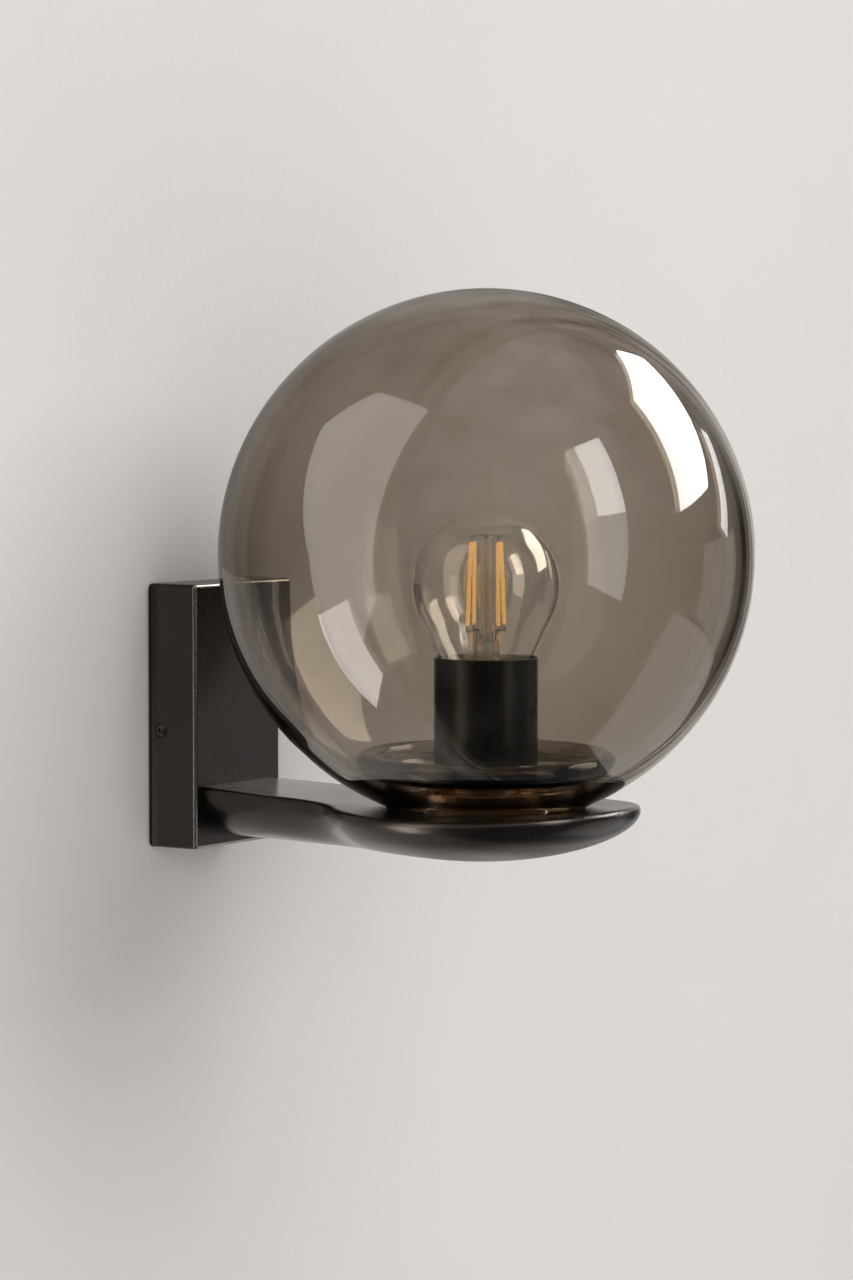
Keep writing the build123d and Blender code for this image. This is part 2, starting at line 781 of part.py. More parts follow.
def filaments():
    sticks = []
    for index in range(filament_count):
        high, low = filament_ends(index)
        sticks.append(rod_between(filament_radius, high, low))
    return sticks


def filament_supports():
    # one wire from the stem to each end of each filament
    supports = []
    for index in range(filament_count):
        high, low = filament_ends(index)
        top_z = bulb_centre + stem_top + support_wire_radius
        top_wire = rod_between(support_wire_radius, (0, lamp_y, top_z), (high[0], high[1], top_z))
        low_z = low[2] - support_wire_radius - filament_end_gap
        share = stem_radius / filament_low_spread
        start = (low[0] * share, lamp_y + (low[1] - lamp_y) * share, low_z)
        low_wire = rod_between(support_wire_radius, start, (low[0], low[1], low_z))
        supports.append(top_wire)
        supports.append(low_wire)
    hub = upright(stem_radius / 2, bulb_centre + stem_top, bulb_centre + stem_top + 3 * support_wire_radius)
    top_wires = hub
    for wire in supports[0::2]:
        top_wires += wire
    return [top_wires] + supports[1::2]


def bulb_cap():
    base = cap_radius - thread_depth / 2
    wave_low = cap_low + cap_thread_start
    outer, wave_high = thread_wave(base, wave_low, cap_high - cap_thread_end)
    inner = base - thread_depth / 2 - cap_wall
    edges = list(outer)
    edges.append(Line((inner, cap_low), (base, cap_low)))
    edges.append(Line((base, cap_low), (base, wave_low)))
    edges.append(Line((base, wave_high), (base, cap_high)))
    edges.append(Line((base, cap_high), (inner, cap_high)))
    edges.append(Line((inner, cap_high), (inner, cap_low)))
    return Pos(0, lamp_y, 0) * revolve(make_face(Wire([Plane.XZ * edge for edge in edges])), Axis.Z)


def cap_insulator():
    wide = cap_radius - thread_depth / 2
    low = bulb_low + cap_tip_height
    points = [(0, low), (cap_tip_radius + 1, low), (wide, cap_low), (0, cap_low)]
    return turned_polygon(points)


def cap_tip():
    dome = (cap_tip_radius**2 + cap_tip_height**2) / (2 * cap_tip_height)
    tip = Pos(0, lamp_y, bulb_low + dome) * Sphere(dome)
    return tip & upright(cap_tip_radius + 1, bulb_low - 1, bulb_low + cap_tip_height)


def driver_board():
    # a round board with its chip and a small can
    face = cap_low + driver_thickness
    parts = upright(driver_radius, cap_low, face)
    parts += Pos(driver_chip_offset, lamp_y, face + driver_chip[2] / 2) * Box(*driver_chip)
    parts += upright(driver_can_radius, face, face + driver_can_height, driver_can_offset)
    return parts


# terminal block, wires and earth

def terminal_block():
    back = plate_face + block_depth
    half = block_width / 2
    block_high = block_low + block_height
    body = block(-half, half, plate_face, back, block_low, block_high)
    body = fillet(body.edges().filter_by(Axis.Y), block_corner_radius)
    for x in pole_places:
        body -= upright(pole_tube_radius + thread_gap, block_low - 1, block_high + 1, x, block_axis_y)
        for z in pole_screw_places:
            body -= along_y(pole_screw_head_radius + running_gap, block_axis_y, back + 1, x, z)
    for x in block_screw_places:
        body -= along_y(block_screw_radius + running_gap, plate_face - 1, back + 1, x, block_middle)
    return body


def terminal_tubes():
    tubes = []
    low = block_middle - pole_tube_length / 2
    for x in pole_places:
        insert = tube(pole_tube_radius, wire_bore_radius, low, low + pole_tube_length, x, block_axis_y)
        for z in pole_screw_places:
            insert -= along_y(pole_screw_radius + thread_gap, block_axis_y, block_axis_y + 5, x, z)
        tubes.append(insert)
    return tubes


def terminal_screws():
    screws = []
    tube_face = block_axis_y + pole_tube_radius
    for x in pole_places:
        for z in pole_screw_places:
            head_low = tube_face + contact_gap
            head_high = head_low + pole_screw_head_height
            shank = along_y(pole_screw_radius, block_axis_y + wire_radius + contact_gap, head_low, x, z)
            head = along_y(pole_screw_head_radius, head_low, head_high, x, z)
            head -= driver_slot(x, z, head_high, pole_screw_head_radius)
            screws.append(shank + head)
    return screws


def block_screws():
    back = plate_face + block_depth
    screws = []
    for x in block_screw_places:
        head_high = back + block_screw_head_height
        shank = along_y(block_screw_radius, plate_face - plate_thickness + contact_gap, back, x, block_middle)
        head = along_y(block_screw_head_radius, back, head_high, x, block_middle)
        head -= driver_slot(x, block_middle, head_high, block_screw_head_radius)
        screws.append(shank + head)
    return screws


def lamp_wire(pole_x, side):
    # from the terminal block down the box, along the arm and up the nipple to the holder's terminal
    x = side * wire_pair_spacing / 2
    clamp_z = block_low + wire_entry
    turn_z = block_low - wire_below_block
    terminal_z = holder_cap_top - terminal_height / 2
    points = [
        (pole_x, block_axis_y, clamp_z),
        (pole_x, block_axis_y, turn_z),
        (x, block_axis_y, turn_z - wire_turn_drop),
        (x, block_axis_y, channel_height),
        (x, lamp_y, channel_height),
        (x, lamp_y, terminal_z),
        (side * terminal_offset, lamp_y, terminal_z),
    ]
    channel_bend = arm_channel_radius - thread_gap
    return wire_along(points, [wire_bend, wire_bend, wire_bend, channel_bend, wire_end_bend])


def earth_wire():
    barrel_y = plate_face + tag_thickness + wire_radius
    turn_z = block_low - earth_wire_below_block
    points = [
        (pole_pitch, block_axis_y, block_low + wire_entry),
        (pole_pitch, block_axis_y, turn_z),
        (earth_x, barrel_y, turn_z - earth_wire_turn_drop),
        (earth_x, barrel_y, earth_z + tag_radius + earth_wire_above_tag),
    ]
    return wire_along(points, [earth_wire_bend, earth_wire_bend])


def earth_tag():
    # ring tag with a short barrel round the end of the earth wire
    face = plate_face + tag_thickness
    barrel_y = face + wire_radius
    tag = along_y(tag_radius, plate_face, face, earth_x, earth_z)
    barrel_low = earth_z + tag_radius
    barrel_high = barrel_low + tag_barrel_length
    barrel_outer = wire_radius + tag_barrel_wall
    tag += block(earth_x - wire_radius, earth_x + wire_radius, plate_face, face, earth_z, barrel_high)
    barrel = upright(barrel_outer, barrel_low, barrel_high, earth_x, barrel_y)
    barrel_x = (earth_x - barrel_outer, earth_x + barrel_outer)
    barrel -= block(*barrel_x, plate_face - barrel_outer, plate_face, barrel_low, barrel_high)
    tag += barrel
    tag -= upright(wire_radius + thread_gap, barrel_low - 1, barrel_high + 1, earth_x, barrel_y)
    return tag - along_y(earth_screw_radius + running_gap, plate_face - 1, face + 1, earth_x, earth_z)


def earth_screw():
    face = plate_face + tag_thickness
    head_high = face + earth_screw_head_height
    shank = along_y(earth_screw_radius, plate_face - plate_thickness + contact_gap, face, earth_x, earth_z)
    head = along_y(earth_screw_head_radius, face, head_high, earth_x, earth_z)
    head -= driver_slot(earth_x, earth_z, head_high, earth_screw_head_radius)
    return shank + head


def node_shapes():
    return {
        "wall_bracket": wall_bracket(),
        "cable_grommet": cable_grommet(),
        "box_cover": box_cover(),
        "mounting_plate": mounting_plate(),
        "clamp_nuts": clamp_nuts(),
        "side_screw_left": side_screw(-1),
        "side_screw_right": side_screw(1),
        "arm_washers": arm_washers(),
        "arm_screws": arm_screws(),
        "arm": arm(),
        "globe_gasket": globe_gasket(),
        "globe": globe(),
        "gallery": gallery(),
        "gallery_base": gallery_base(),
        "holder_ring": holder_ring(),
        "nipple": nipple(),
        "lock_washer": lock_washer(),
        "lock_nut": lock_nut(),
        "holder_cup": holder_cup(),
        "holder_cap": holder_cap(),
        "holder_body": holder_body(),
        "threaded_shell": threaded_shell(),
        "side_contact": side_contact(),
        "contact_post": contact_post(),
        "contact_leaf": contact_leaf(),
        "holder_terminals": holder_terminals(),
        "holder_terminal_screws": holder_terminal_screws(),
        "bulb_envelope": bulb_glass_envelope(),
        "bulb_stem": bulb_stem(),
        "filaments": filaments(),
        "filament_supports": filament_supports(),
        "bulb_cap": bulb_cap(),
        "cap_insulator": cap_insulator(),
        "cap_tip": cap_tip(),
        "driver_board": driver_board(),
        "terminal_block": terminal_block(),
        "terminal_tubes": terminal_tubes(),
        "terminal_screws": terminal_screws(),
        "block_screws": block_screws(),
        "live_wire": lamp_wire(-pole_pitch, -1),
        "neutral_wire": lamp_wire(0.0, 1),
        "earth_wire": earth_wire(),
        "earth_tag": earth_tag(),
        "earth_screw": earth_screw(),
    }


os.makedirs("parts", exist_ok=True)
for name, shape in node_shapes().items():
    solids = shape if isinstance(shape, list) else [shape]
    solids = [solid for piece in solids for solid in piece.solids()]
    export_step(Compound(children=solids) if len(solids) > 1 else solids[0], f"parts/{name}.step")
    print(name, len(solids), round(sum(solid.volume for solid in solids), 2))
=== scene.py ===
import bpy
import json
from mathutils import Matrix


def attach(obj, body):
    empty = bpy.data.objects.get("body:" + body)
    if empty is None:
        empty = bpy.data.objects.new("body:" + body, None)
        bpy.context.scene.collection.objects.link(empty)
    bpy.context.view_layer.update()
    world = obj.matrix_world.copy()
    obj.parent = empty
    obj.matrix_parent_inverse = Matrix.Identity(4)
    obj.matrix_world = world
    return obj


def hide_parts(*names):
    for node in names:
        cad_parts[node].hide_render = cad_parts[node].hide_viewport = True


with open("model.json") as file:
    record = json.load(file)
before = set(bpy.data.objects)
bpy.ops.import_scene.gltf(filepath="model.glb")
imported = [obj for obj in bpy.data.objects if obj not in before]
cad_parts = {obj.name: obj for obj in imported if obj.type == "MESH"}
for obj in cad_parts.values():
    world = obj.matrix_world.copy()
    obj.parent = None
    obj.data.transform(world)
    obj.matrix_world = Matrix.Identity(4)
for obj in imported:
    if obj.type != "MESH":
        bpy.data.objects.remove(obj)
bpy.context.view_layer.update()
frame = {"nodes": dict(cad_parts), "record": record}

import json
import math
import bmesh
import bpy
from mathutils import Vector

nodes = frame["nodes"]
scene = bpy.context.scene
print("frame loaded:", len(nodes), "nodes")


# the camera stands where the photo was taken from
cameraSetup = {
    "place": (-1.43155, -1.03898, 0.13714),
    "heading": 32.76,  # degrees from +X towards +Y
    "pitch": 3.482,  # degrees down
    "lens": 118.56,
    "sensor": 36.0,
    "farEnd": 50.0,
}


def placeCamera():
    heading = math.radians(cameraSetup["heading"])
    pitch = math.radians(cameraSetup["pitch"])
    aim = Vector((math.cos(heading) * math.cos(pitch), math.sin(heading) * math.cos(pitch), -math.sin(pitch)))
    data = bpy.data.cameras.new("camera")
    data.sensor_width = cameraSetup["sensor"]
    data.lens = cameraSetup["lens"]
    data.clip_end = cameraSetup["farEnd"]
    camera = bpy.data.objects.new("camera", data)
    camera.location = cameraSetup["place"]
    camera.rotation_mode = "QUATERNION"
    camera.rotation_quaternion = aim.to_track_quat("-Z", "Y")
    scene.collection.objects.link(camera)
    scene.camera = camera
    scene.view_settings.view_transform = "Standard"


placeCamera()
print("camera placed")


def setSocket(tree, socket, value):
    # numbers and colours go on the socket itself, another node's output is linked to it
    if isinstance(value, (int, float)):
        socket.default_value = value
    elif isinstance(value, tuple):
        socket.default_value = (*value[:3], 1.0)
    else:
        tree.links.new(value, socket)


def addMath(tree, operation, *values):
    node = tree.nodes.new("ShaderNodeMath")
    node.operation = operation
    for socket, value in zip(node.inputs, values):
        setSocket(tree, socket, value)
    return node.outputs[0]


def addNoise(tree, vector, scale, detail, rough):
    node = tree.nodes.new("ShaderNodeTexNoise")
    node.inputs["Detail"].default_value = detail
    node.inputs["Roughness"].default_value = rough
    tree.links.new(vector, node.inputs["Vector"])
    setSocket(tree, node.inputs["Scale"], scale)
    return node.outputs["Fac"]


def addMixColor(tree, factor, first, second):
    node = tree.nodes.new("ShaderNodeMix")
    node.data_type = "RGBA"
    for index, value in ((0, factor), (6, first), (7, second)):
        setSocket(tree, node.inputs[index], value)
    return node.outputs[2]


def addRange(tree, value, fromLow, fromHigh, toLow, toHigh):
    node = tree.nodes.new("ShaderNodeMapRange")
    node.clamp = True
    for socket, setting in zip(node.inputs, (value, fromLow, fromHigh, toLow, toHigh)):
        setSocket(tree, socket, setting)
    return node.outputs[0]


def addMask(tree, value, limits):
    return addRange(tree, value, limits[0], limits[1], 0.0, 1.0)


def objectPlace(tree):
    return tree.nodes.new("ShaderNodeTexCoord").outputs["Object"]


def newGroup(name, inputs, outputs):
    group = bpy.data.node_groups.new(name, "ShaderNodeTree")
    for label, kind, value in inputs:
        socket = group.interface.new_socket(name=label, in_out="INPUT", socket_type=kind)
        socket.default_value = value
    for label, kind in outputs:
        group.interface.new_socket(name=label, in_out="OUTPUT", socket_type=kind)
    start = group.nodes.new("NodeGroupInput")
    end = group.nodes.new("NodeGroupOutput")
    return group, start, end


grainSteps = {
    "speckScale": 900.0, "cloudWorn": (0.42, 0.68), "speckWorn": (0.4, 0.7), "speckLeast": 0.2,
    "cloudShare": 0.7, "grainShare": 0.3, "roughRange": (0.35, 0.65),
}


def makeCoatGrain():
    # fine pebbled grain of a satin coat with soft cloudy wear: colour, roughness and height
    steps = grainSteps
    group, start, end = newGroup(
        "coatGrain",
        [
            ("Color", "NodeSocketColor", (0.02, 0.02, 0.02, 1)),
            ("Worn Color", "NodeSocketColor", (0.04, 0.04, 0.04, 1)),
            ("Grain Scale", "NodeSocketFloat", 2600.0),
            ("Cloud Scale", "NodeSocketFloat", 22.0),
            ("Roughness Low", "NodeSocketFloat", 0.3),
            ("Roughness High", "NodeSocketFloat", 0.42),
        ],
        [("Color", "NodeSocketColor"), ("Roughness", "NodeSocketFloat"), ("Height", "NodeSocketFloat")],
    )
    place = objectPlace(group)
    grain = addNoise(group, place, start.outputs["Grain Scale"], 2.0, 0.6)
    cloud = addNoise(group, place, start.outputs["Cloud Scale"], 4.0, 0.6)
    speck = addNoise(group, place, steps["speckScale"], 3.0, 0.7)
    speckled = addRange(group, speck, *steps["speckWorn"], steps["speckLeast"], 1.0)
    worn = addMath(group, "MULTIPLY", addMask(group, cloud, steps["cloudWorn"]), speckled)
    color = addMixColor(group, worn, start.outputs["Color"], start.outputs["Worn Color"])
    group.links.new(color, end.inputs["Color"])
    cloudPart = addMath(group, "MULTIPLY", cloud, steps["cloudShare"])
    grainPart = addMath(group, "MULTIPLY", grain, steps["grainShare"])
    mixed = addMath(group, "ADD", cloudPart, grainPart)
    low, high = start.outputs["Roughness Low"], start.outputs["Roughness High"]
    group.links.new(addRange(group, mixed, *steps["roughRange"], low, high), end.inputs["Roughness"])
    group.links.new(grain, end.inputs["Height"])
    return group


def makeTurnedLines():
    # faint lathe or drawing lines along one axis: a value round 0.5 and a height
    group, start, end = newGroup(
        "turnedLines",
        [("Line Scale", "NodeSocketFloat", 900.0), ("Stretch", "NodeSocketVector", (1.0, 1.0, 20.0))],
        [("Value", "NodeSocketFloat"), ("Height", "NodeSocketFloat")],
    )
    cloudScale = 60.0
    share = 0.5  # of the lines, and of the clouds too
    place = objectPlace(group)
    scaled = group.nodes.new("ShaderNodeVectorMath")
    scaled.operation = "MULTIPLY"
    group.links.new(place, scaled.inputs[0])
    group.links.new(start.outputs["Stretch"], scaled.inputs[1])
    lines = addNoise(group, scaled.outputs[0], start.outputs["Line Scale"], 2.0, 0.5)
    cloud = addNoise(group, place, cloudScale, 3.0, 0.5)
    linePart = addMath(group, "MULTIPLY", lines, share)
    cloudPart = addMath(group, "MULTIPLY", cloud, share)
    group.links.new(addMath(group, "ADD", linePart, cloudPart), end.inputs["Value"])
    group.links.new(lines, end.inputs["Height"])
    return group


smearSteps = {"fineScale": 420.0, "wide": (0.45, 0.75), "fine": (0.3, 0.7), "fineLeast": 0.5}


def makeFaintSmears():
    # soft wiping marks on polished or glass surfaces: one mask
    steps = smearSteps
    group, start, end = newGroup(
        "faintSmears",
        [
            ("Smear Scale", "NodeSocketFloat", 14.0),
            ("Low", "NodeSocketFloat", 0.0),
            ("High", "NodeSocketFloat", 0.04),
        ],
        [("Value", "NodeSocketFloat")],
    )
    place = objectPlace(group)
    wide = addNoise(group, place, start.outputs["Smear Scale"], 4.0, 0.6)
    fine = addNoise(group, place, steps["fineScale"], 3.0, 0.6)
    streaks = addRange(group, fine, *steps["fine"], steps["fineLeast"], 1.0)
    both = addMath(group, "MULTIPLY", addMask(group, wide, steps["wide"]), streaks)
    value = addRange(group, both, 0.0, 1.0, start.outputs["Low"], start.outputs["High"])
    group.links.new(value, end.inputs["Value"])
    return group


def makePaintedEdgeHighlight():
    # painted highlight: a mask of the rounded front edges of a box, from its size in metres
    group, start, end = newGroup(
        "boxEdges",
        [
            ("Half Width", "NodeSocketFloat", 0.03),
            ("Half Height", "NodeSocketFloat", 0.05),
            ("Depth", "NodeSocketFloat", 0.02),
            ("Round", "NodeSocketFloat", 0.001),
        ],
        [("Value", "NodeSocketFloat")],
    )
    maskRange = (0.02, 0.2)
    parts = group.nodes.new("ShaderNodeSeparateXYZ")
    group.links.new(objectPlace(group), parts.inputs[0])

    def nearEnd(value, size):
        inside = addMath(group, "SUBTRACT", start.outputs[size], start.outputs["Round"])
        return addMask(group, value, (inside, start.outputs[size]))

    front = nearEnd(addMath(group, "MULTIPLY", parts.outputs["Y"], -1.0), "Depth")
    side = nearEnd(addMath(group, "ABSOLUTE", parts.outputs["X"]), "Half Width")
    top = nearEnd(addMath(group, "ABSOLUTE", parts.outputs["Z"]), "Half Height")
    both = addMath(group, "MULTIPLY", front, addMath(group, "MAXIMUM", side, top))
    group.links.new(addMask(group, both, maskRange), end.inputs["Value"])
    return group


coatGrain = makeCoatGrain()
boxEdges = makePaintedEdgeHighlight()
turnedLines = makeTurnedLines()
faintSmears = makeFaintSmears()
print("shader groups built")


def newMaterial(name):
    material = bpy.data.materials.new(name)
    material.use_nodes = True
    tree = material.node_tree
    tree.nodes.clear()
    output = tree.nodes.new("ShaderNodeOutputMaterial")
    shader = tree.nodes.new("ShaderNodeBsdfPrincipled")
    tree.links.new(shader.outputs[0], output.inputs["Surface"])
    return material, tree, shader, output


def placeGroup(tree, group, **values):
    node = tree.nodes.new("ShaderNodeGroup")
    node.node_tree = group
    for label, value in values.items():
        node.inputs[label.replace("_", " ")].default_value = value
    return node


def addBump(tree, shader, height, strength, distance):
    bump = tree.nodes.new("ShaderNodeBump")
    bump.inputs["Strength"].default_value = strength
    bump.inputs["Distance"].default_value = distance
    tree.links.new(height, bump.inputs["Height"])
    tree.links.new(bump.outputs[0], shader.inputs["Normal"])


def addSmears(tree, shader, look):
    low, high = look["rough"]
    smears = placeGroup(tree, faintSmears, Smear_Scale=look["smear"], Low=low, High=high)
    tree.links.new(smears.outputs["Value"], shader.inputs["Roughness"])


def mixSurface(tree, output, factor, first, second):
    mix = tree.nodes.new("ShaderNodeMixShader")
    for socket, value in zip(mix.inputs, (factor, first, second)):
        tree.links.new(value, socket)
    tree.links.new(mix.outputs[0], output.inputs["Surface"])


def coatedMaterial(name, look):
    material, tree, shader, output = newMaterial(name)
    grain = placeGroup(
        tree,
        coatGrain,
        Color=(*look["color"], 1),
        Worn_Color=(*look["worn"], 1),
        Grain_Scale=look["grain"],
        Cloud_Scale=look["cloud"],
        Roughness_Low=look["rough"][0],
        Roughness_High=look["rough"][1],
    )
    color = grain.outputs["Color"]
    if "box" in look:  # painted highlight: a lighter colour on the rounded edges stands in for the coat's shine
        width, height, depth, edge = look["box"]
        mask = placeGroup(tree, boxEdges, Half_Width=width, Half_Height=height, Depth=depth, Round=edge)
        color = addMixColor(tree, mask.outputs["Value"], color, look["edge"])
    tree.links.new(color, shader.inputs["Base Color"])
    tree.links.new(grain.outputs["Roughness"], shader.inputs["Roughness"])
    shader.inputs["Metallic"].default_value = look.get("metal", 0.0)
    if "coat" in look:
        shader.inputs["Coat Weight"].default_value = look["coat"]
        shader.inputs["Coat Roughness"].default_value = look["coatRough"]
    addBump(tree, shader, grain.outputs["Height"], *look["bump"])
    return material


lineRange = (0.35, 0.65)  # the part of the line value that the roughness uses


def turnedMaterial(name, look):
    material, tree, shader, output = newMaterial(name)
    lines = placeGroup(tree, turnedLines, Line_Scale=look["lines"], Stretch=look["stretch"])
    value = lines.outputs["Value"]
    tree.links.new(addMixColor(tree, value, look["color"], look["worn"]), shader.inputs["Base Color"])
    tree.links.new(addRange(tree, value, *lineRange, *look["rough"]), shader.inputs["Roughness"])
    shader.inputs["Metallic"].default_value = look.get("metal", 1.0)
    addBump(tree, shader, lines.outputs["Height"], *look["bump"])
    return material


def addPaintedRimShade(tree, shader, look):
    # painted shade: the glass colour darkens where the wall is seen edge on, on top of the volume's own
    # darkening, with dark bands that stand in for the contour lines of a thicker wall
    facing = tree.nodes.new("ShaderNodeLayerWeight")
    facing.inputs["Blend"].default_value = look["rimBlend"]
    paintedShade = tree.nodes.new("ShaderNodeValToRGB")
    ramp = paintedShade.color_ramp
    while len(ramp.elements) < len(look["shadeBands"]):
        ramp.elements.new(0.5)
    for element, (place, share) in zip(ramp.elements, look["shadeBands"]):
        element.position = place
        element.color = (share, share, share, 1)
    tree.links.new(facing.outputs["Facing"], paintedShade.inputs[0])
    tint = addMixColor(tree, paintedShade.outputs[0], look["color"], look["rim"])
    tree.links.new(tint, shader.inputs["Base Color"])


def glassMaterial(name, look):
    material, tree, shader, output = newMaterial(name)
    addSmears(tree, shader, look)
    shader.inputs["Base Color"].default_value = (*look["color"], 1)
    shader.inputs["Transmission Weight"].default_value = look["clear"]
    shader.inputs["IOR"].default_value = look["ior"]
    if "rim" in look:
        addPaintedRimShade(tree, shader, look)
    if "wave" in look:  # slow waves of blown glass
        scale, strength, distance = look["wave"]
        addBump(tree, shader, addNoise(tree, objectPlace(tree), scale, 1.0, 0.4), strength, distance)
    if "coat" in look:
        shader.inputs["Coat Weight"].default_value = look["coat"]
        shader.inputs["Coat IOR"].default_value = look["coatIor"]
        shader.inputs["Coat Roughness"].default_value = look["coatRough"]
    clear = tree.nodes.new("ShaderNodeBsdfTransparent")
    clear.inputs["Color"].default_value = (*look["shadow"], 1)
    path = tree.nodes.new("ShaderNodeLightPath")
    mixSurface(tree, output, path.outputs["Is Shadow Ray"], shader.outputs[0], clear.outputs[0])
    if "density" in look:
        dye = tree.nodes.new("ShaderNodeVolumeAbsorption")
        dye.inputs["Color"].default_value = (*look["dye"], 1)
        dye.inputs["Density"].default_value = look["density"]
        tree.links.new(dye.outputs[0], output.inputs["Volume"])
    return material


def stripedWireMaterial(name, look):
    material, tree, shader, output = newMaterial(name)
    wave = tree.nodes.new("ShaderNodeTexWave")
    wave.inputs["Scale"].default_value = look["stripe"]
    wave.inputs["Distortion"].default_value = look["waver"]
    wave.bands_direction = "DIAGONAL"
    tree.links.new(objectPlace(tree), wave.inputs["Vector"])
    edge = addMask(tree, wave.outputs["Fac"], look["edge"])
    tree.links.new(addMixColor(tree, edge, look["green"], look["yellow"]), shader.inputs["Base Color"])
    addSmears(tree, shader, look)
    return material


def phosphorMaterial(name, look):
    material, tree, shader, output = newMaterial(name)
    spots = addNoise(tree, objectPlace(tree), look["spots"], 3.0, 0.6)
    color = addMixColor(tree, addMask(tree, spots, look["spotRange"]), look["color"], look["worn"])
    tree.links.new(color, shader.inputs["Base Color"])
    # painted light: the phosphor glows weakly in its own colour, though the bulb is unlit
    tree.links.new(color, shader.inputs["Emission Color"])
    shader.inputs["Emission Strength"].default_value = look["glow"]
    tree.links.new(addRange(tree, spots, *look["roughRange"], *look["rough"]), shader.inputs["Roughness"])
    addBump(tree, shader, spots, *look["bump"])
    return material


# coats, plastics and rubber: grain and cloud are noise scales, bump is strength and depth
satinBlackLook = {
    "color": (0.056, 0.048, 0.043), "worn": (0.061, 0.053, 0.048), "grain": 2600.0, "cloud": 18.0,
    "rough": (0.24, 0.31), "bump": (0.1, 0.0001), "metal": 0.96,
}
boxBlackPaintedHighlightLook = {  # half width, half height, depth and edge radius of the wall box, in metres; edge is the painted highlight colour
    **satinBlackLook, "box": (0.0303, 0.0547, 0.0245, 0.0016), "edge": (0.24, 0.22, 0.2),
}
cupBlackLook = {
    "color": (0.036, 0.034, 0.03), "worn": (0.044, 0.041, 0.037), "grain": 3000.0, "cloud": 30.0,
    "rough": (0.25, 0.32), "bump": (0.08, 0.0001), "metal": 0.95,
}
screwLook = {
    "color": (0.06, 0.055, 0.05), "worn": (0.1, 0.095, 0.09), "grain": 2400.0, "cloud": 300.0,
    "rough": (0.25, 0.38), "bump": (0.1, 0.0001), "metal": 0.9,
}
rubberLook = {
    "color": (0.02, 0.02, 0.02), "worn": (0.035, 0.035, 0.034), "grain": 1500.0, "cloud": 60.0,
    "rough": (0.6, 0.8), "bump": (0.2, 0.0002),
}
moldedBlackLook = {
    "color": (0.018, 0.017, 0.017), "worn": (0.03, 0.03, 0.029), "grain": 1300.0, "cloud": 80.0,
    "rough": (0.38, 0.5), "bump": (0.15, 0.0001),
}
nylonLook = {
    "color": (0.74, 0.72, 0.66), "worn": (0.66, 0.63, 0.56), "grain": 1200.0, "cloud": 90.0,
    "rough": (0.4, 0.55), "bump": (0.12, 0.0001),
}
boardLook = {
    "color": (0.03, 0.11, 0.05), "worn": (0.05, 0.15, 0.08), "grain": 1800.0, "cloud": 220.0,
    "rough": (0.35, 0.5), "bump": (0.2, 0.0001),
}
enamelLook = {
    "color": (0.012, 0.012, 0.013), "worn": (0.02, 0.02, 0.022), "grain": 900.0, "cloud": 150.0,
    "rough": (0.08, 0.16), "bump": (0.1, 0.0001), "coat": 0.5, "coatRough": 0.2,
}
brownWireLook = {
    "color": (0.11, 0.05, 0.025), "worn": (0.13, 0.065, 0.035), "grain": 900.0, "cloud": 60.0,
    "rough": (0.35, 0.45), "bump": (0.05, 0.0001),
}
blueWireLook = {**brownWireLook, "color": (0.02, 0.08, 0.3), "worn": (0.03, 0.1, 0.34)}

# turned, drawn and plated metals: stretch squeezes the lines along each axis
bronzeLook = {
    "color": (0.5, 0.37, 0.26), "worn": (0.58, 0.44, 0.32), "metal": 0.8, "lines": 500.0,
    "stretch": (1.0, 1.0, 30.0), "rough": (0.07, 0.13), "bump": (0.03, 0.00005),
}
brassLook = {
    "color": (0.66, 0.47, 0.19), "worn": (0.55, 0.38, 0.15), "lines": 600.0,
    "stretch": (1.0, 1.0, 12.0), "rough": (0.22, 0.36), "bump": (0.05, 0.00005),
}
zincLook = {
    "color": (0.52, 0.52, 0.53), "worn": (0.42, 0.42, 0.41), "lines": 300.0,
    "stretch": (1.0, 1.0, 3.0), "rough": (0.3, 0.45), "bump": (0.06, 0.00008),
}
nickelLook = {
    "color": (0.62, 0.6, 0.56), "worn": (0.5, 0.48, 0.45), "lines": 500.0,
    "stretch": (1.0, 1.0, 8.0), "rough": (0.2, 0.34), "bump": (0.04, 0.00005),
}
tinLook = {
    "color": (0.55, 0.55, 0.54), "worn": (0.42, 0.42, 0.42), "lines": 250.0,
    "stretch": (1.0, 1.0, 1.0), "rough": (0.35, 0.55), "bump": (0.1, 0.0001),
}
supportWireLook = {
    "color": (0.2, 0.185, 0.17), "worn": (0.12, 0.11, 0.1), "lines": 300.0,
    "stretch": (1.0, 1.0, 1.0), "rough": (0.25, 0.4), "bump": (0.05, 0.00003),
}

# glass: wave is scale, strength and depth
# a band is a place between face on (0) and edge on (1), and its share of the painted rim shade
smokedLook = {
    "color": (1.0, 1.0, 1.0), "rim": (0.66, 0.62, 0.58), "rimBlend": 0.5, "shadow": (0.97, 0.965, 0.96),
    "shadeBands": [(0.0, 0.0), (0.5, 0.06), (0.6, 0.12), (0.635, 0.62), (0.66, 0.1), (0.74, 0.12), (0.8, 0.45),
              (1.0, 0.5)],
    "wave": (11.0, 0.5, 0.0016), "smear": 9.0, "rough": (0.0, 0.006), "ior": 1.5, "clear": 1.0,
    "dye": (0.544, 0.476, 0.376), "density": 250.0,
}
clearLook = {
    "color": (1.0, 0.998, 0.995), "shadow": (0.98, 0.98, 0.98), "smear": 30.0, "rough": (0.0, 0.008),
    "ior": 1.47, "clear": 0.95, "coat": 1.0, "coatIor": 1.95, "coatRough": 0.0,
}
stemLook = {**clearLook, "color": (0.98, 0.95, 0.88), "smear": 90.0, "rough": (0.05, 0.14), "clear": 0.8}

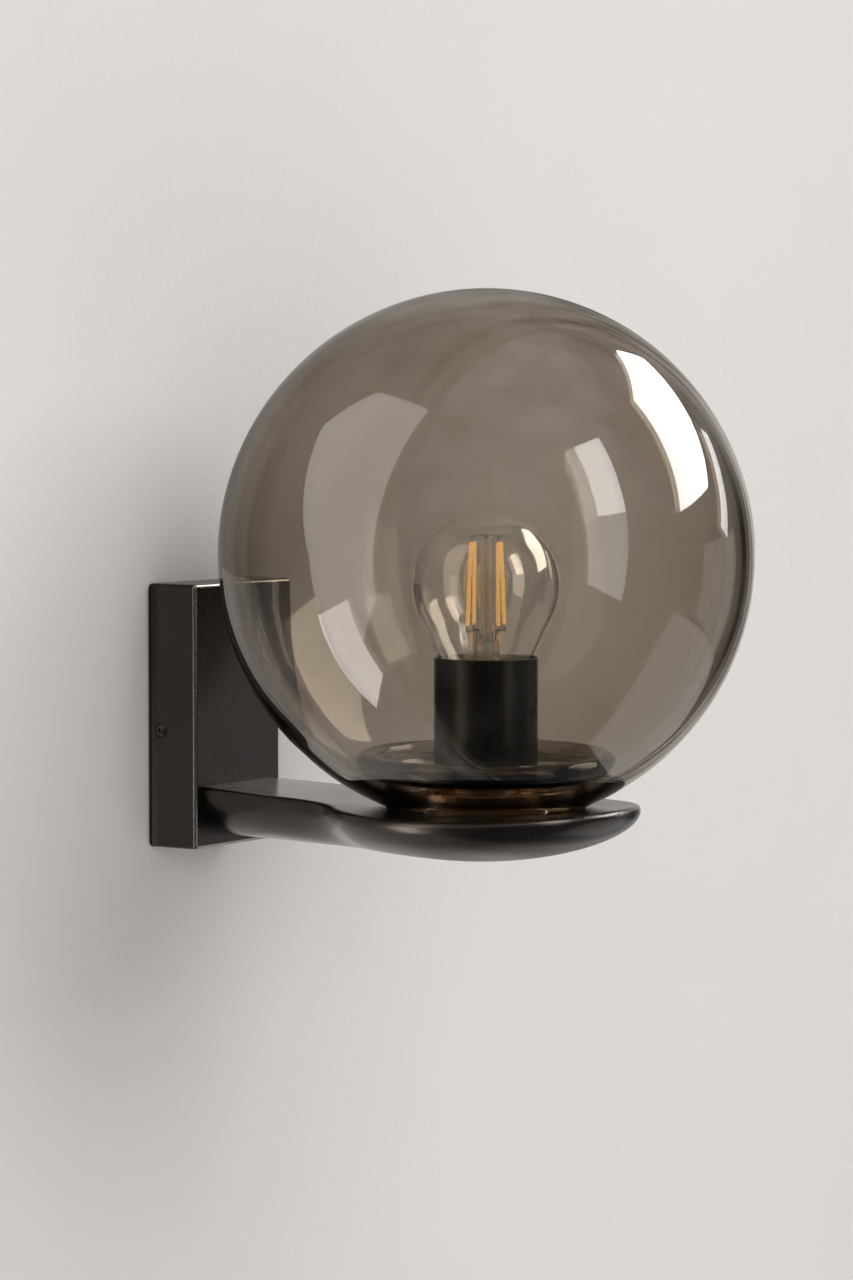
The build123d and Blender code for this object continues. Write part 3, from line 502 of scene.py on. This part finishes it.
earthWireLook = {
    "green": (0.05, 0.3, 0.04), "yellow": (0.75, 0.6, 0.03), "stripe": 60.0, "waver": 1.5,
    "edge": (0.45, 0.55), "smear": 60.0, "rough": (0.35, 0.5),
}
# glow is painted light: the Emission Strength of the unlit phosphor
phosphorLook = {
    "color": (0.95, 0.5, 0.13), "worn": (0.98, 0.6, 0.2), "spots": 700.0, "spotRange": (0.35, 0.65),
    "rough": (0.4, 0.6), "roughRange": (0.3, 0.7), "bump": (0.3, 0.0001), "glow": 1.15,
}

phosphor = phosphorMaterial("amberPhosphorPaintedGlow", phosphorLook)
tin = turnedMaterial("dullTin", tinLook)
supportWire = turnedMaterial("drawnWire", supportWireLook)
stemGlass = glassMaterial("stemGlass", stemLook)

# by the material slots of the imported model
materialOf = {
    "black_metal": coatedMaterial("satinBlackCoat", satinBlackLook),
    "black_screw": coatedMaterial("blackenedScrew", screwLook),
    "dark_bronze": turnedMaterial("polishedBronze", bronzeLook),
    "zinc_steel": turnedMaterial("zincPlate", zincLook),
    "brass": turnedMaterial("turnedBrass", brassLook),
    "plated_metal": turnedMaterial("nickelSheet", nickelLook),
    "solder": tin,
    "rubber": coatedMaterial("softRubber", rubberLook),
    "smoked_glass": glassMaterial("smokedGlass", smokedLook),
    "clear_glass": glassMaterial("clearGlass", clearLook),
    "black_plastic": coatedMaterial("moldedBlack", moldedBlackLook),
    "pale_plastic": coatedMaterial("paleNylon", nylonLook),
    "phosphor": phosphor,
    "support_wire": tin,
    "black_enamel": coatedMaterial("blackEnamel", enamelLook),
    "circuit_board": coatedMaterial("circuitBoard", boardLook),
    "brown_insulation": coatedMaterial("brownInsulation", brownWireLook),
    "blue_insulation": coatedMaterial("blueInsulation", blueWireLook),
    "earth_insulation": stripedWireMaterial("stripedInsulation", earthWireLook),
}
ownMaterials = {  # two pieces whose coat differs from the rest of their slot; the box cover's has a painted highlight on its edges
    "holder_cup": coatedMaterial("cupBlackCoat", cupBlackLook),
    "box_cover": coatedMaterial("boxBlackCoatPaintedHighlight", boxBlackPaintedHighlightLook),
}
for entry in frame["record"]["subparts"]:
    materials = nodes[entry["node"]].data.materials
    materials.clear()
    materials.append(ownMaterials.get(entry["node"], materialOf[entry["material_slot"]]))
print("materials set:", len(bpy.data.materials))


mmToMetres = 0.001


def meshPiece(name, runs, material):
    # skins runs of rings, and each run becomes one closed body
    build = bmesh.new()
    for run in runs:
        loops = [[build.verts.new(point) for point in ring] for ring in run]
        for first, second in zip(loops, loops[1:]):
            count = len(first)
            for k in range(count):
                after = (k + 1) % count
                build.faces.new((first[k], first[after], second[after], second[k]))
        build.faces.new(list(reversed(loops[0])))
        build.faces.new(loops[-1])
    bmesh.ops.recalc_face_normals(build, faces=build.faces)
    mesh = bpy.data.meshes.new(name)
    build.to_mesh(mesh)
    build.free()
    for polygon in mesh.polygons:
        polygon.use_smooth = True
    thing = bpy.data.objects.new(name, mesh)
    thing.data.materials.append(material)
    scene.collection.objects.link(thing)
    return thing


def smoothPath(points, steps):
    # an even curve through all the points
    ends = [points[0] * 2 - points[1]] + points + [points[-1] * 2 - points[-2]]
    path = []
    for k in range(len(points) - 1):
        a, b, c, d = ends[k:k + 4]
        for step in range(steps):
            u = step / steps
            bend = 2 * a - 5 * b + 4 * c - d
            path.append(0.5 * (2 * b + (c - a) * u + bend * u**2 + (3 * b - a - 3 * c + d) * u**3))
    path.append(points[-1])
    return path


def circleAngles(sides):
    return [2 * math.pi * side / sides for side in range(sides)]


def ringRound(point, across, other, reach, flat, sides):
    return [
        (point + across * reach * math.cos(angle) + other * reach * flat * math.sin(angle)) * mmToMetres
        for angle in circleAngles(sides)
    ]


def tubeRings(path, radius, sides, flat=1.0):
    # rings along a path in mm; flat squeezes them into a strip
    rings = []
    across = (path[1] - path[0]).normalized().orthogonal().normalized()
    for k, point in enumerate(path):
        along = (path[min(k + 1, len(path) - 1)] - path[max(k - 1, 0)]).normalized()
        across = (across - along * across.dot(along)).normalized()
        rings.append(ringRound(point, across, along.cross(across), radius, flat, sides))
    return rings


def latheRings(profile, sides):
    # rings round the bulb's axis from pairs of radius and height in mm
    return [
        ringRound(Vector((axisX, axisY, height)), Vector((1, 0, 0)), Vector((0, 1, 0)), radius, 1.0, sides)
        for radius, height in profile
    ]


# the bulb's finer pieces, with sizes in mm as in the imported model
bulbShape = {"axis": (0.0, -146.2), "centre": 56.3}
axisX, axisY = bulbShape["axis"]

filamentShape = {
    "count": 4, "turn": 69.8, "twist": -4.5, "top": 19.2, "length": 36.6, "topSpread": 7.5, "lowSpread": 8.9,
    "radius": 0.98, "flat": 0.8, "roundEnd": 0.9, "leastRadius": 0.3, "sides": 18,
    "endShares": [0.0, 0.003, 0.008, 0.015, 0.025],  # close rings where the end rounds off
    "middleSteps": 24,
    "tab": 1.5, "tabFrom": 0.15, "tabInto": 0.4, "tabRadius": 0.42, "tabFlat": 0.35,
    "tabSteps": 4, "tabSides": 10,
}


def filamentEnds(index):
    shape = filamentShape
    high = math.radians(shape["turn"] + index * 360 / shape["count"])
    low = high + math.radians(shape["twist"])
    topZ = bulbShape["centre"] + shape["top"]
    lowZ = topZ - shape["length"]
    return [
        Vector((axisX + spread * math.cos(angle), axisY + spread * math.sin(angle), height))
        for angle, spread, height in ((high, shape["topSpread"], topZ), (low, shape["lowSpread"], lowZ))
    ]


def stripRings(start, end):
    # one coated strip, flattened and rounded off at both ends
    shape = filamentShape
    along = (end - start).normalized()
    across = along.orthogonal().normalized()
    near = shape["endShares"]
    far = [1 - share for share in reversed(near)]
    middleStart = near[-1] * 2
    middleStep = (1 - 2 * middleStart) / shape["middleSteps"]
    middle = [middleStart + middleStep * k for k in range(shape["middleSteps"] + 1)]
    rings = []
    for share in near + middle + far:
        point = start.lerp(end, share)
        part = min(min((point - start).length, (end - point).length) / shape["roundEnd"], 1.0)
        reach = max(shape["radius"] * math.sqrt(part * (2 - part)), shape["leastRadius"])
        rings.append(ringRound(point, across, along.cross(across), reach, shape["flat"], shape["sides"]))
    return rings


def makeFilaments():
    shape = filamentShape
    tabFlat = shape["tabFlat"] / shape["tabRadius"]
    strips = []
    tabs = []
    for index in range(shape["count"]):
        start, end = filamentEnds(index)
        along = (end - start).normalized()
        inner = [start + along * shape["tab"], end - along * shape["tab"]]
        strips.append(stripRings(*inner))
        for tip, root, inward in ((start, inner[0], along), (end, inner[1], -along)):
            near, far = tip + inward * shape["tabFrom"], root + inward * shape["tabInto"]
            path = [near.lerp(far, step / shape["tabSteps"]) for step in range(shape["tabSteps"] + 1)]
            tabs.append(tubeRings(path, shape["tabRadius"], shape["tabSides"], tabFlat))
    coated = meshPiece("filament_strips", strips, phosphor)
    ends = meshPiece("filament_tabs", tabs, tin)
    for piece in (coated, ends):
        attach(piece, "bulb")
    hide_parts("filaments")


# each point of a wire: where it is measured from, how far out from there and how far up
wireShape = {
    "radius": 0.26, "sides": 10, "steps": 7, "stemTop": 19.6, "overStem": 0.35,
    "top": [("axis", 0.7, 0.0), ("axis", 2.6, 0.35), ("axis", 6.6, 0.0), ("level", 0.0, 0.05),
            ("level", 0.425, -0.05), ("strip", 0.3, -0.75)],
    "low": [("strip", 0.3, 0.7), ("strip", 0.425, -0.45), ("strip", -0.5, -0.45), ("axis", 5.9, -0.15),
            ("axis", 4.7, -1.35), ("axis", 4.35, -3.45), ("axis", 4.5, -6.95), ("axis", 3.6, -12.95)],
    "hub": [(0.05, -0.9), (0.8, -0.85), (1.05, -0.5), (1.15, 0.0), (1.0, 0.5), (0.6, 0.8), (0.05, 0.9)],
    "hubSides": 20,
}


def wireRings(strip, height, points):
    shape = wireShape
    places = {
        "strip": strip,
        "level": Vector((strip.x, strip.y, height)),
        "axis": Vector((axisX, axisY, height)),
    }
    out = Vector((strip.x - axisX, strip.y - axisY, 0)).normalized()
    path = [places[name] + out * reach + Vector((0, 0, rise)) for name, reach, rise in points]
    return tubeRings(smoothPath(path, shape["steps"]), shape["radius"], shape["sides"])


def makeSupports():
    shape = wireShape
    stemTop = bulbShape["centre"] + shape["stemTop"]
    runs = []
    for index in range(filamentShape["count"]):
        start, end = filamentEnds(index)
        runs.append(wireRings(start, stemTop + shape["overStem"], shape["top"]))
        runs.append(wireRings(end, end.z, shape["low"]))
    runs.append(latheRings([(radius, stemTop + rise) for radius, rise in shape["hub"]], shape["hubSides"]))
    wires = meshPiece("filament_wires", runs, supportWire)
    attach(wires, "bulb")
    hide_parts("filament_supports")


stemShape = {
    "top": 75.7, "shoulder": 34.6, "flareTop": 23.0, "low": 9.15,
    "press": 5.45, "flare": 10.8, "wall": 0.9, "flareBend": 2.2, "flareSteps": 8,
    "overFlare": 2.0, "innerRise": 0.4, "rodSteps": 12, "rodFoot": 3.2, "sides": 48,
    "tip": [(0.02, 0.0), (1.0, -0.06), (1.6, -0.35), (1.97, -0.9), (2.05, -1.8)],  # radius, height from the top
    "neck": [(2.2, 1.6), (2.65, 0.7), (3.45, 0.15), (4.55, -0.15), (5.2, -0.55), (5.45, -1.3), (5.5, -4.0)],
    "hollow": [(4.55, -7.0), (4.15, -5.6), (2.95, -4.7), (1.6, -4.3), (0.02, -4.2)],  # both from the shoulder
}


def makeStem():
    shape = stemShape
    top, shoulder, press = shape["top"], shape["shoulder"], shape["press"]
    outer = [(radius, top + rise) for radius, rise in shape["tip"]]
    rodRadius, rodTop = outer[-1]
    rodStep = (rodTop - shoulder - shape["rodFoot"]) / shape["rodSteps"]
    outer += [(rodRadius, rodTop - rodStep * k) for k in range(1, shape["rodSteps"] + 1)]
    outer += [(radius, shoulder + rise) for radius, rise in shape["neck"]]
    outer.append((press, shape["flareTop"] + shape["overFlare"]))
    flare = []
    for k in range(shape["flareSteps"] + 1):
        share = k / shape["flareSteps"]
        widen = (shape["flare"] - press) * share ** shape["flareBend"]
        flare.append((press + widen, shape["flareTop"] - (shape["flareTop"] - shape["low"]) * share))
    inner = [(shape["flare"] - shape["wall"], shape["low"])]
    inner += [(radius - shape["wall"], height + shape["innerRise"]) for radius, height in reversed(flare)]
    inner += [(radius, shoulder + rise) for radius, rise in shape["hollow"]]
    glass = meshPiece("stem_glass", [latheRings(outer + flare + inner, shape["sides"])], stemGlass)
    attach(glass, "bulb")
    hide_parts("bulb_stem")


makeFilaments()
makeSupports()
makeStem()
print("bulb details built")


# the stage: a pale wall with a hole behind the box, and a pale floor
stageSetup = {
    "half": 6.0,
    "wallGap": 0.0006,
    "hole": (0.026, 0.05),
    "floorDrop": 2.2,
    "wallColor": (0.71, 0.685, 0.665),
    "wallGrain": 260.0,
    "floorColor": (0.72, 0.71, 0.7),
    "floorGrain": 120.0,
    "cloudScale": 3.0,
    "cloudRange": (0.3, 0.7),
    "cloudTint": 0.965,
    "rough": 0.9,
    "specular": 0.2,
    "bump": (0.14, 0.0012),
}


def stageMaterial(name, color, grainScale):
    # seen from its front only, so that views from behind look through it
    material, tree, shader, output = newMaterial(name)
    place = objectPlace(tree)
    fine = addNoise(tree, place, grainScale, 4.0, 0.6)
    wide = addNoise(tree, place, stageSetup["cloudScale"], 3.0, 0.5)
    tint = tuple(value * stageSetup["cloudTint"] for value in color)
    mask = addMask(tree, wide, stageSetup["cloudRange"])
    tree.links.new(addMixColor(tree, mask, color, tint), shader.inputs["Base Color"])
    shader.inputs["Roughness"].default_value = stageSetup["rough"]
    shader.inputs["Specular IOR Level"].default_value = stageSetup["specular"]
    addBump(tree, shader, fine, *stageSetup["bump"])
    back = tree.nodes.new("ShaderNodeNewGeometry").outputs["Backfacing"]
    clear = tree.nodes.new("ShaderNodeBsdfTransparent")
    mixSurface(tree, output, back, shader.outputs[0], clear.outputs[0])
    return material


def flatObject(name, points, faces):
    mesh = bpy.data.meshes.new(name)
    mesh.from_pydata(points, [], faces)
    mesh.validate()
    thing = bpy.data.objects.new(name, mesh)
    scene.collection.objects.link(thing)
    return thing


half = stageSetup["half"]
gap = stageSetup["wallGap"]
holeX, holeZ = stageSetup["hole"]
floorZ = -stageSetup["floorDrop"]
wallOuter = [(-half, gap, floorZ), (half, gap, floorZ), (half, gap, half), (-half, gap, half)]
wallInner = [(-holeX, gap, -holeZ), (holeX, gap, -holeZ), (holeX, gap, holeZ), (-holeX, gap, holeZ)]
wallFaces = [(k, (k + 1) % 4, 4 + (k + 1) % 4, 4 + k) for k in range(4)]
floorPoints = [(-half, -half, floorZ), (half, -half, floorZ), (half, gap, floorZ), (-half, gap, floorZ)]
wall = flatObject("stageWall", wallOuter + wallInner, wallFaces)
floor = flatObject("stageFloor", floorPoints, [(0, 1, 2, 3)])
wall.data.materials.append(stageMaterial("paleWall", stageSetup["wallColor"], stageSetup["wallGrain"]))
floor.data.materials.append(stageMaterial("paleFloor", stageSetup["floorColor"], stageSetup["floorGrain"]))
floor.visible_glossy = False  # keeps the glass free of a pale haze
floor.visible_transmission = False
wall.visible_glossy = False  # the wall cards below stand in for it


# soft lights, all aimed at the origin and left out of reflections
lightSetup = {
    "windowLight": {"place": (1.95, -3.85, 2.6), "size": (2.8, 2.8), "power": 86.0},
    "topLight": {"place": (0.1, -2.0, 3.3), "size": (3.0, 2.0), "power": 60.0},
    "frontLight": {"place": (-3.4, -3.9, 0.4), "size": (3.6, 3.6), "power": 84.0},
}


def areaLight(name, look):
    data = bpy.data.lights.new(name, "AREA")
    data.shape = "RECTANGLE"
    data.size, data.size_y = look["size"]
    data.energy = look["power"]
    lamp = bpy.data.objects.new(name, data)
    lamp.location = look["place"]
    lamp.rotation_mode = "QUATERNION"
    lamp.rotation_quaternion = (-Vector(look["place"])).to_track_quat("-Z", "Y")
    lamp.visible_camera = False
    lamp.visible_glossy = False
    lamp.visible_transmission = False
    scene.collection.objects.link(lamp)


for name, look in lightSetup.items():
    areaLight(name, look)


# panes of light that only show in reflections; a held-back one is not seen by rays that passed through glass
warmGlow = (1.0, 0.96, 0.92)
coolGlow = (0.98, 0.99, 1.0)
patchRange = (0.36, 0.64)  # the part of the noise that the patches use
cardSetup = {
    "wallCard": {
        "points": [(-3.0, -0.002, -2.0), (3.0, -0.002, -2.0), (3.0, -0.002, 3.0), (-3.0, -0.002, 3.0)],
        "radiance": 0.3, "color": warmGlow, "patches": (1.7, 0.05, 2.6), "heldBack": True,
    },
    "sideCard": {
        "points": [(-0.11, -0.0035, -0.08), (-0.032, -0.0035, -0.08), (-0.032, -0.0035, 0.06),
                   (-0.11, -0.0035, 0.05)],
        "radiance": 0.45, "color": warmGlow, "heldBack": True,
    },
    "armCard": {
        "points": [(0.033, -0.0035, -0.1), (0.7, -0.0035, -0.16), (0.7, -0.0035, 0.06), (0.033, -0.0035, 0.0)],
        "radiance": 0.85, "color": warmGlow, "heldBack": True,
    },
    "windowCard": {
        "points": [(1.596, -0.278, 1.556), (2.904, -0.077, 1.844), (2.46, -1.676, 0.848), (1.152, -1.877, 0.56),
                   (0.938, -1.268, 0.889), (0.79, -0.831, 1.126)],
        "radiance": 12.0, "color": coolGlow,
    },
    "paneCard": {
        "points": [(-0.46, -3.0, 0.95), (-0.46, -3.0, 2.9), (0.46, -3.0, 2.97), (0.25, -3.0, 0.95)],
        "radiance": 8.5, "color": coolGlow,
    },
    "sashCard": {
        "points": [(-0.82, -3.02, -0.4), (-0.8, -3.02, 2.9), (0.42, -3.02, 2.98), (0.24, -3.02, 0.85),
                   (0.03, -3.02, -0.7)],
        "radiance": 2.6, "color": coolGlow,
    },
    "rightCard": {
        "points": [(2.6, -2.7, -0.95), (2.6, -1.0, -0.95), (2.6, -1.0, 0.25), (2.6, -2.7, 0.25)],
        "radiance": 0.6, "color": coolGlow,
    },
    "floorCard": {
        "points": [(0.65, -0.74, -1.5), (0.74, -1.56, -1.5), (1.37, -2.89, -1.5), (2.91, -4.87, -1.5),
                   (4.46, -1.58, -1.5), (3.59, -0.57, -1.5), (3.03, -0.12, -1.5), (1.79, -0.03, -1.5)],
        "radiance": 0.85, "color": coolGlow,
    },
    "stripCard": {
        "points": [(2.0, -0.6, 0.88), (2.0, -0.95, 0.64), (2.0, -1.32, 0.3), (2.0, -1.12, 0.18),
                   (2.0, -0.8, 0.53), (2.0, -0.5, 0.76)],
        "radiance": 4.5, "color": coolGlow,
    },
    "patchCard": {
        "points": [(-0.22, -0.009, -0.01), (-0.36, -0.009, -0.02), (-0.42, -0.009, -0.31),
                   (-0.23, -0.009, -0.26), (-0.22, -0.009, -0.08)],
        "radiance": 7.0, "color": warmGlow,
    },
    "leftCard": {
        "points": [(-0.13, -0.006, 0.22), (-0.15, -0.006, 0.37), (-0.71, -0.006, 1.39), (-0.67, -0.006, -0.1),
                   (-0.33, -0.006, -0.16), (-0.24, -0.006, -0.06), (-0.22, -0.006, 0.07)],
        "radiance": 2.8, "color": warmGlow,
    },
}


def glowCard(name, look):
    card = flatObject(name, look["points"], [tuple(range(len(look["points"])))])
    material = bpy.data.materials.new(name + "Glow")
    material.use_nodes = True
    tree = material.node_tree
    tree.nodes.clear()
    output = tree.nodes.new("ShaderNodeOutputMaterial")
    glow = tree.nodes.new("ShaderNodeEmission")
    glow.inputs["Color"].default_value = (*look["color"], 1)
    glow.inputs["Strength"].default_value = look["radiance"]
    if "patches" in look:  # uneven light, as from a room
        scale, low, high = look["patches"]
        noise = addNoise(tree, objectPlace(tree), scale, 3.0, 0.6)
        uneven = addRange(tree, noise, *patchRange, look["radiance"] * low, look["radiance"] * high)
        tree.links.new(uneven, glow.inputs["Strength"])
    clear = tree.nodes.new("ShaderNodeBsdfTransparent")
    path = tree.nodes.new("ShaderNodeLightPath")  # nothing shows when looked at straight through the glass
    mirrored = addMath(tree, "GREATER_THAN", path.outputs["Glossy Depth"], 0.5)
    mixSurface(tree, output, mirrored, clear.outputs[0], glow.outputs[0])
    card.data.materials.append(material)
    card.visible_camera = False
    card.visible_diffuse = False
    card.visible_shadow = False
    card.visible_transmission = not look.get("heldBack", False)


for name, look in cardSetup.items():
    glowCard(name, look)


# dim uneven air, lightest overhead, for reflections and bounced light
worldSetup = {
    "color": (0.99, 0.985, 0.98), "up": 0.7, "level": 0.09, "down": 0.12,
    "rise": (0.05, 0.95), "fall": (-0.9, -0.05),
    "patches": (2.4, 0.45, 1.7),
    "plain": 0.62,  # the even background where the camera looks past the stage
}


def makeWorld():
    setup = worldSetup
    world = bpy.data.worlds.new("studioAir")
    world.use_nodes = True
    tree = world.node_tree
    air = tree.nodes["Background"]
    air.inputs["Color"].default_value = (*setup["color"], 1)
    toward = tree.nodes.new("ShaderNodeTexCoord").outputs["Generated"]
    parts = tree.nodes.new("ShaderNodeSeparateXYZ")
    tree.links.new(toward, parts.inputs[0])
    height = parts.outputs["Z"]
    rise = addRange(tree, height, *setup["rise"], setup["level"], setup["up"])
    fall = addRange(tree, height, *setup["fall"], setup["down"] - setup["level"], 0.0)
    scale, low, high = setup["patches"]
    uneven = addRange(tree, addNoise(tree, toward, scale, 3.0, 0.6), *patchRange, low, high)
    roomLight = addMath(tree, "MULTIPLY", addMath(tree, "ADD", rise, fall), uneven)
    path = tree.nodes.new("ShaderNodeLightPath")
    depth = addMath(tree, "ADD", path.outputs["Glossy Depth"], path.outputs["Diffuse Depth"])
    bounced = addMath(tree, "GREATER_THAN", depth, 0.5)
    plain = addMath(tree, "MULTIPLY", addMath(tree, "SUBTRACT", 1.0, bounced), setup["plain"])
    strength = addMath(tree, "ADD", addMath(tree, "MULTIPLY", roomLight, bounced), plain)
    tree.links.new(strength, air.inputs["Strength"])
    scene.world = world


makeWorld()
print("stage and lights set")
